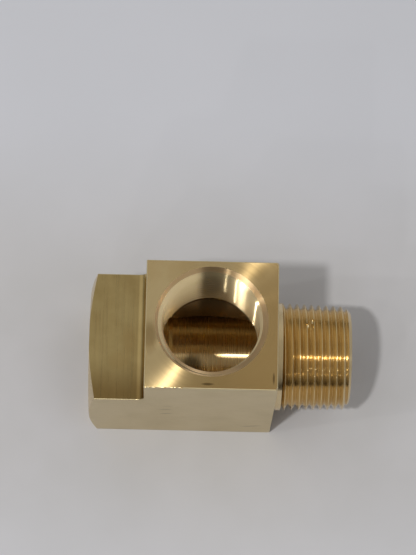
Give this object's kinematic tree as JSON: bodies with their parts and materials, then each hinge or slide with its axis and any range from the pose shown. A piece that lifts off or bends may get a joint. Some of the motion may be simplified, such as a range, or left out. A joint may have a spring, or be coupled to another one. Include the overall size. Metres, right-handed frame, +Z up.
{
  "type": "street tee",
  "caption": "One-piece brass street tee: female pipe ports on one run end and the upright branch, tapered male pipe end on the other.",
  "frame": {"origin": "on the flat underside, midway through the bar's thickness, straight below the branch", "axes": "+X along the run towards the male end, +Z up along the branch, +Y to the back of the slice"},
  "size_m": [0.0646, 0.0318, 0.0444],
  "materials": {
    "brass": "bright turned and bored brass, sawn and extruded sides left satin"
  },
  "bodies": {
    "root": {"street_tee": "brass"}
  },
  "joints": []
}
